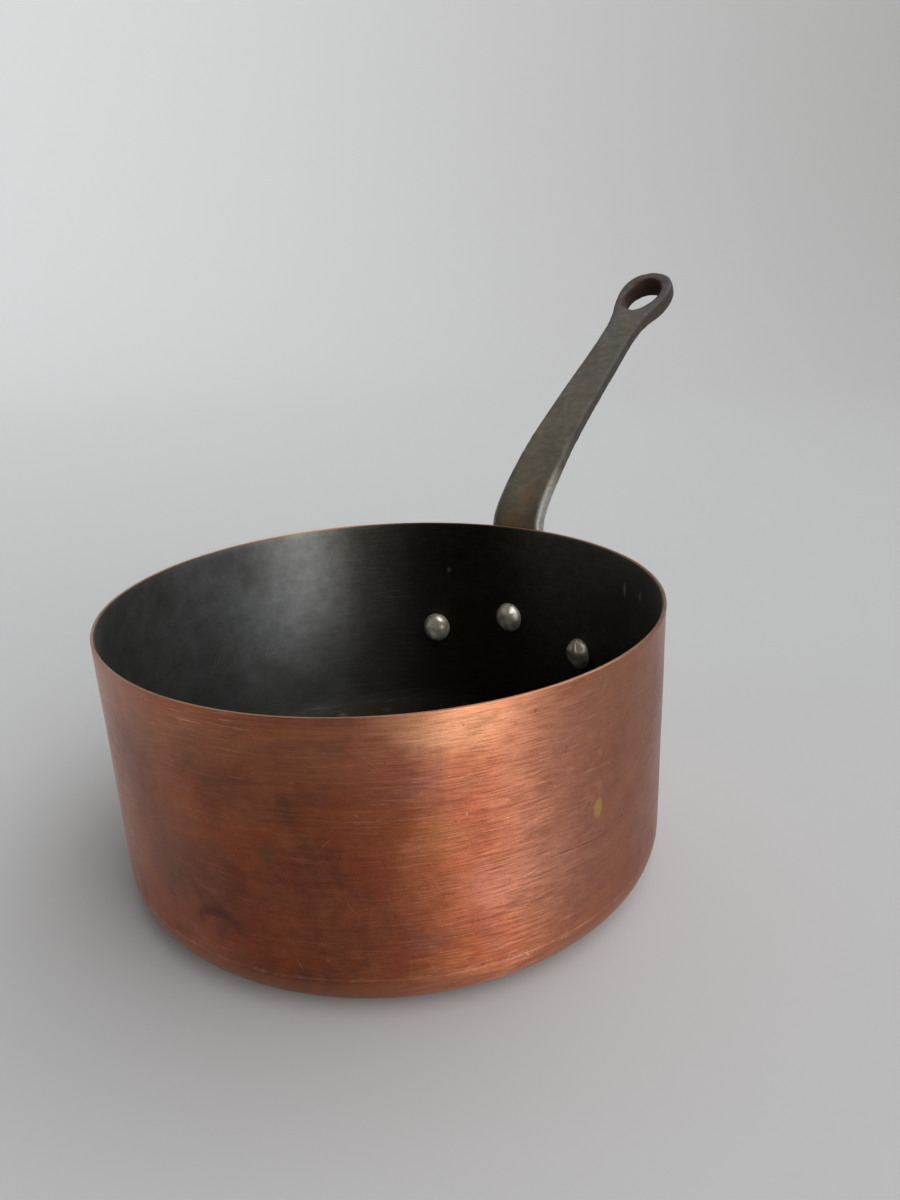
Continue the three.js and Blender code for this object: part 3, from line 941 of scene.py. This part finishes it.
def lining_material():
    """Old tin gone charcoal grey, with painted shade toward the handle, painted shade and some
    stain on the lower wall, darker toward the base, with bright specks.
    """
    nodes = Nodes("dark_worn_tin")
    x, y, z, radius = nodes.place()
    cloud = nodes.noise(nodes.object, 34.0, 5.0, 0.62, 0.4)
    stain = nodes.noise(nodes.moved((0.2, 0.5, 0.1)), 70.0, 5.0, 0.65, 0.3)
    colour = nodes.mix(nodes.ramp(cloud, 0.34, 0.66), TIN_GREY, TIN_DARK)
    colour = nodes.mix(nodes.ramp(stain, 0.52, 0.76, 0.0, 0.4), colour, TIN_STAIN)
    # Painted shade: the lining darker on the side toward the handle
    ahead = nodes.math("MULTIPLY_ADD", y, -0.21, nodes.times(x, 0.98))
    shade_toward_handle = nodes.ramp(nodes.math("DIVIDE", ahead, radius), 0.3, 0.62)
    colour = nodes.tint(colour, shade_toward_handle, 0.8, TIN_SHADED)
    colour = nodes.speckle(colour, nodes.moved((0.3, 0.3, 0.9)), 260.0, 5.0, 0.65, 0.8)
    colour = nodes.speckle(colour, nodes.object, 1500.0, 2.0, 0.6, 0.35)
    # Painted shade with some stain: darker on the lower wall
    lower_shade_and_stain = nodes.ramp(z, 52 * MM, 16 * MM)
    colour = nodes.tint(colour, lower_shade_and_stain, 0.65, TIN_LOWER_SHADE_AND_STAIN)
    low = nodes.ramp(z, 16 * MM, 2.5 * MM)
    colour = nodes.tint(colour, low, 0.9, TIN_BASE)
    fine = brushed_along(nodes, 9.0, 0.35, 3.0, 7.0)
    coarse = brushed_along(nodes, 22.0, 2.2, 3.0, 21.0)
    colour = nodes.mix(nodes.ramp(fine, 0.52, 0.8, 0.0, 0.3), colour, TIN_BRUSHED)
    flat = nodes.ragged(nodes.unrolled(), 0.5, 1.0)
    for middle, size in SPECKS:
        speck = nodes.ramp(nodes.oval(flat, middle, size), 1.3, 0.4)
        colour = nodes.tint(colour, speck, 0.5, TIN_SPECK)
    edge = nodes.ramp(z, BODY_HEIGHT - 0.5 * MM, BODY_HEIGHT - 0.2 * MM)
    colour = nodes.tint(colour, edge, 0.9, TIN_EDGE)
    nodes.set("Base Color", colour)
    nodes.set("Metallic", 1.0)
    roughness = nodes.ramp(stain, 0.3, 0.7, 0.43, 0.50)
    nodes.set("Roughness", nodes.math("MULTIPLY_ADD", low, 0.15, roughness))
    nodes.set("Anisotropic", 0.8)
    nodes.set("Anisotropic Rotation", 0.25)
    nodes.set("Tangent", nodes.round_tangent())
    grain = nodes.math("ADD", nodes.times(fine, 0.6), nodes.times(coarse, 0.5))
    nodes.set("Normal", nodes.bump(grain, 0.025 * MM, 0.35))
    return nodes.material


IRON_GREY = (0.070, 0.060, 0.037)
IRON_BROWN = (0.050, 0.042, 0.027)
IRON_PIT = (0.04, 0.03, 0.023)
IRON_PALE = (0.10, 0.09, 0.07)
IRON_OUTER = (0.038, 0.032, 0.022)
IRON_EYE = (0.05, 0.034, 0.03)
# Painted highlight on the stem's upper edges at the root
IRON_BEVEL_HIGHLIGHT = (0.30, 0.28, 0.26)
# Painted shade on the stem's flanks
IRON_FLANK_SHADE = (0.03, 0.022, 0.02)
# Painted shade inside the hanging hole
IRON_HOLE_SHADE = (0.02, 0.01, 0.006)
RUST_OCHRE = (0.12, 0.085, 0.042)
RUST_BROWN = (0.085, 0.045, 0.018)


def iron_material():
    """Mottled grey-brown casting: rust at the root, with a painted highlight on its upper edges and
    painted shade on its flanks, and painted shade in the hole.
    """
    nodes = Nodes("aged_cast_iron")
    x, y, z, _ = nodes.place()
    cloud = nodes.noise(nodes.object, 85.0, 5.0, 0.62, 0.3)
    spot = nodes.noise(nodes.moved((0.2, 0.1, 0.6)), 300.0, 4.0, 0.62, 0.2)
    fine = nodes.noise(nodes.object, 900.0, 3.0, 0.6)
    colour = nodes.mix(nodes.ramp(cloud, 0.34, 0.66), IRON_GREY, IRON_BROWN)
    colour = nodes.mix(nodes.ramp(spot, 0.52, 0.7, 0.0, 0.55), colour, IRON_PIT)
    colour = nodes.mix(nodes.ramp(spot, 0.46, 0.32, 0.0, 0.4), colour, IRON_PALE)
    outer = nodes.ramp(x, 115 * MM, 165 * MM)
    colour = nodes.tint(colour, outer, 0.6, IRON_OUTER)
    eye = nodes.ramp(x, 178 * MM, 196 * MM)
    colour = nodes.tint(colour, eye, 0.6, IRON_EYE)

    across = nodes.math("ABSOLUTE", y)
    root = nodes.ramp(x, 106 * MM, 84 * MM)
    middle = nodes.ramp(across, 7.5 * MM, 1.5 * MM)
    patchy = nodes.noise(nodes.moved((0.5, 0.3, 0.1)), 120.0, 4.0, 0.55, 0.4)
    spread = nodes.ramp(patchy, 0.38, 0.58, 0.25, 1.0)
    rust = nodes.times(nodes.times(root, middle), spread)
    rust = nodes.times(rust, nodes.ramp(z, 60 * MM, 74 * MM, 0.3, 1.0))
    rust_colour = nodes.mix(nodes.ramp(patchy, 0.42, 0.6), RUST_OCHRE, RUST_BROWN)
    colour = nodes.tint(colour, rust, 0.85, rust_colour)
    # Painted highlight: paler, smoother upper edges of the stem near the root
    bevel_highlight = nodes.times(nodes.ramp(across, 7.4 * MM, 8.8 * MM), nodes.ramp(x, 104 * MM, 90 * MM))
    bevel_highlight = nodes.times(bevel_highlight, nodes.ramp(fine, 0.3, 0.6, 0.6, 1.0))
    bevel_highlight = nodes.times(bevel_highlight, nodes.ramp(z, 68 * MM, 78 * MM))
    colour = nodes.tint(colour, bevel_highlight, 0.6, IRON_BEVEL_HIGHLIGHT)

    # Painted shade: a dark band along the stem's flanks near the root
    side = nodes.math("MULTIPLY_ADD", nodes.math("SUBTRACT", x, 100 * MM), 0.0242, across)
    flank_shade = nodes.times(nodes.ramp(side, 7.0 * MM, 8.3 * MM), nodes.ramp(x, 98 * MM, 118 * MM))
    colour = nodes.tint(colour, flank_shade, 0.7, IRON_FLANK_SHADE)

    # Painted shade inside the hanging hole: darker colour, less metal and less specular
    point, _, slope = spine_at(HOLE_CENTRE)
    hole = nodes.add("ShaderNodeMapping", {
        "Vector": nodes.object, "Location": point * MM, "Rotation": (0, -slope, 0),
        "Scale": ((HOLE_HALF_LENGTH + 0.6) * MM, (HOLE_HALF_WIDTH + 0.6) * MM, 1),
    }, vector_type="TEXTURE")
    distance = nodes.vector_math("LENGTH", hole.outputs[0]).outputs["Value"]
    inside = nodes.ramp(distance, 1.16, 1.04)
    colour = nodes.tint(colour, inside, 0.92, IRON_HOLE_SHADE)

    nodes.set("Base Color", colour)
    # Less metallic where rusty, and in the hole as painted shade
    rust_and_hole_shade = nodes.math("MAXIMUM", rust, inside)
    nodes.set("Metallic", nodes.math("MULTIPLY_ADD", rust_and_hole_shade, -0.3, 0.3))
    nodes.set("Specular IOR Level", nodes.math("MULTIPLY_ADD", inside, -0.32, 0.4))
    rough_spots = nodes.ramp(spot, 0.3, 0.7, 0.52, 0.68)
    roughness = nodes.math("ADD", rough_spots, nodes.times(rust, 0.15))
    nodes.set("Roughness", nodes.math("SUBTRACT", roughness, nodes.times(bevel_highlight, 0.14)))
    lumps = nodes.math("ADD", nodes.times(fine, 0.35), spot)
    nodes.set("Normal", nodes.bump(lumps, 0.16 * MM, 0.5))
    return nodes.material


def rivet_material():
    """Dull beige-silver heads, lighter and browner in clouds, and darker on the outer heads."""
    nodes = Nodes("tinned_rivet")
    cloud = nodes.noise(nodes.object, 260.0, 4.0, 0.6)
    hammered = nodes.noise(nodes.object, 700.0, 3.0, 0.6)
    colour = nodes.mix(nodes.ramp(cloud, 0.4, 0.7), (0.78, 0.74, 0.62), (0.50, 0.42, 0.31))
    outside = nodes.ramp(nodes.place()[3], 79 * MM, 80 * MM)
    colour = nodes.tint(colour, outside, 0.85, (0.19, 0.155, 0.115))
    nodes.set("Base Color", colour)
    nodes.set("Metallic", 0.65)
    nodes.set("Roughness", nodes.ramp(cloud, 0.3, 0.7, 0.3, 0.42))
    nodes.set("Normal", nodes.bump(hammered, 0.12 * MM, 0.6))
    return nodes.material


def plain_material(name, colour, roughness):
    nodes = Nodes(name)
    nodes.set("Base Color", (*colour, 1))
    nodes.set("Roughness", roughness)
    return nodes.material


# The object

RIVETS = {"rivet_left": "left_rivet", "rivet_center": "center_rivet", "rivet_right": "right_rivet"}


def dress(obj, material):
    """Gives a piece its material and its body. Nothing on the pan moves."""
    obj.data.materials.clear()
    obj.data.materials.append(material)
    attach(obj, "root")


def build_pan():
    """The six pieces, each in place of its CAD node."""
    shell = copper_shell()
    lining = lining_shell()
    for obj in (shell, lining):
        for node in RIVETS:
            combine(obj, rivet_hole_cutter(node), "DIFFERENCE")
        make_smooth(obj, 40)
    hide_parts("copper_body")
    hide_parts("tin_lining")
    dress(shell, copper_material())
    dress(lining, lining_material())
    dress(handle_casting(), iron_material())
    metal = rivet_material()
    for seed, (node, name) in enumerate(RIVETS.items()):
        dress(rivet(node, name, seed * 11 + 2), metal)


# Camera, floor and light

# Headings are in degrees from +X toward +Y: where the camera looks, and the side it stands on
VIEW_HEADING = 32.34
VIEW_PITCH = -19.41
VIEW_ROLL = -2.40
CAMERA_HEADING = 216.8
CAMERA_PLACE = (-0.1985, -0.1485, 0.1624)
FOCAL_LENGTH = 27.0
SENSOR_WIDTH = 36.0

FLOOR_DROP = 0.05 * MM
FLOOR_COLOUR = (0.41, 0.41, 0.405)
FLOOR_RADII = (0.0, 0.1, 0.3, 0.6, 1.1)
FLOOR_EDGE = 2.2
FLOOR_RISE = 1.5
RISE_STEPS = 16
RISE_SPREAD = math.radians(135)
RISE_FADE = math.radians(45)

WORLD_DARK = (0.087, 0.063, 0.049, 1)
WORLD_LIGHT = (2.9, 2.98, 3.1, 1)


def heading_axes(heading, pitch, roll):
    """Right, up and forward for a camera. The angles are in degrees."""
    h, p, r = (math.radians(a) for a in (heading, pitch, roll))
    forward = Vector((math.cos(h) * math.cos(p), math.sin(h) * math.cos(p), math.sin(p)))
    right = Vector((math.sin(h), -math.cos(h), 0))
    up = right.cross(forward)
    turned_right = right * math.cos(r) + up * math.sin(r)
    turned_up = up * math.cos(r) - right * math.sin(r)
    return turned_right, turned_up, forward


def place_camera():
    """The photo's viewpoint, fitted to the rim, the base and the handle."""
    data = bpy.data.cameras.new("camera")
    data.lens = FOCAL_LENGTH
    data.sensor_width = SENSOR_WIDTH
    data.clip_start = 0.01
    camera = bpy.data.objects.new("camera", data)
    bpy.context.scene.collection.objects.link(camera)
    right, up, forward = heading_axes(VIEW_HEADING, VIEW_PITCH, VIEW_ROLL)
    turn = Matrix((right, up, -forward)).transposed()
    camera.matrix_world = Matrix.Translation(CAMERA_PLACE) @ turn.to_4x4()
    bpy.context.scene.camera = camera


def area_light(name, place, target, size, power, colour):
    """A rectangular light aimed at a target, which the camera doesn't see."""
    data = bpy.data.lights.new(name, "AREA")
    data.shape = "RECTANGLE"
    data.size, data.size_y = size
    data.energy = power
    data.color = colour
    light = bpy.data.objects.new(name, data)
    light.visible_camera = False
    bpy.context.scene.collection.objects.link(light)
    aim = (Vector(target) - Vector(place)).to_track_quat("-Z", "Y")
    light.matrix_world = Matrix.Translation(place) @ aim.to_matrix().to_4x4()


def toward(heading, distance, height):
    """A place at a heading round the pan."""
    angle = math.radians(heading)
    return (distance * math.cos(angle), distance * math.sin(angle), height)


def build_stage():
    """A pale floor that curves up behind the pan, well away from it."""
    flat_radius = FLOOR_RADII[-1]
    profile = [(r, 0.0) for r in FLOOR_RADII]
    for i in range(1, RISE_STEPS + 1):
        angle = math.pi / 2 * i / RISE_STEPS
        run = (FLOOR_EDGE - flat_radius) * math.sin(angle)
        profile.append((flat_radius + run, FLOOR_RISE * (1 - math.cos(angle))))
    verts, faces = turn_profile(profile, 96)
    facing = math.radians(VIEW_HEADING)
    for v in verts:
        turned = abs((math.atan2(v.y, v.x) - facing + math.pi) % (2 * math.pi) - math.pi)
        share = min(1, max(0, (RISE_SPREAD - turned) / RISE_FADE))
        v.z *= share * share * (3 - 2 * share)
        v.z -= FLOOR_DROP
    floor = add_object("floor", verts, faces)
    floor.data.materials.append(plain_material("pale_floor", FLOOR_COLOUR, 0.9))


def build_light():
    """A soft window to the camera's right, pale light round that side, and a soft ceiling."""
    world = bpy.data.worlds.new("studio")
    world.use_nodes = True
    tree = world.node_tree
    side = math.radians(CAMERA_HEADING + 78)
    coordinates = tree.nodes.new("ShaderNodeTexCoord")
    turned = tree.nodes.new("ShaderNodeVectorMath")
    turned.operation = "DOT_PRODUCT"
    tree.links.new(coordinates.outputs["Generated"], turned.inputs[0])
    turned.inputs[1].default_value = (math.cos(side), math.sin(side), 0.25)
    spread = tree.nodes.new("ShaderNodeMapRange")
    spread.interpolation_type = "SMOOTHSTEP"
    tree.links.new(turned.outputs["Value"], spread.inputs["Value"])
    for name, value in (("From Min", 0.0), ("From Max", 0.85), ("To Min", 0.0), ("To Max", 1.0)):
        spread.inputs[name].default_value = value
    shade = tree.nodes.new("ShaderNodeMix")
    shade.data_type = "RGBA"
    tree.links.new(spread.outputs["Result"], shade.inputs[0])
    shade.inputs[6].default_value = WORLD_DARK
    shade.inputs[7].default_value = WORLD_LIGHT
    tree.links.new(shade.outputs[2], tree.nodes["Background"].inputs["Color"])
    bpy.context.scene.world = world
    window_place = toward(CAMERA_HEADING + 30.5, 2.0, 0.42)
    area_light("window", window_place, (0, 0, 0.06), (1.2, 0.76), 15.5, (1.0, 0.99, 0.97))
    area_light("ceiling", (1.1, 0.68, 1.5), (1.25, 0.78, 0.1), (2.2, 1.8), 13, (1.0, 1.0, 0.99))


build_pan()
place_camera()
build_stage()
build_light()
bpy.context.scene.view_settings.view_transform = "Standard"
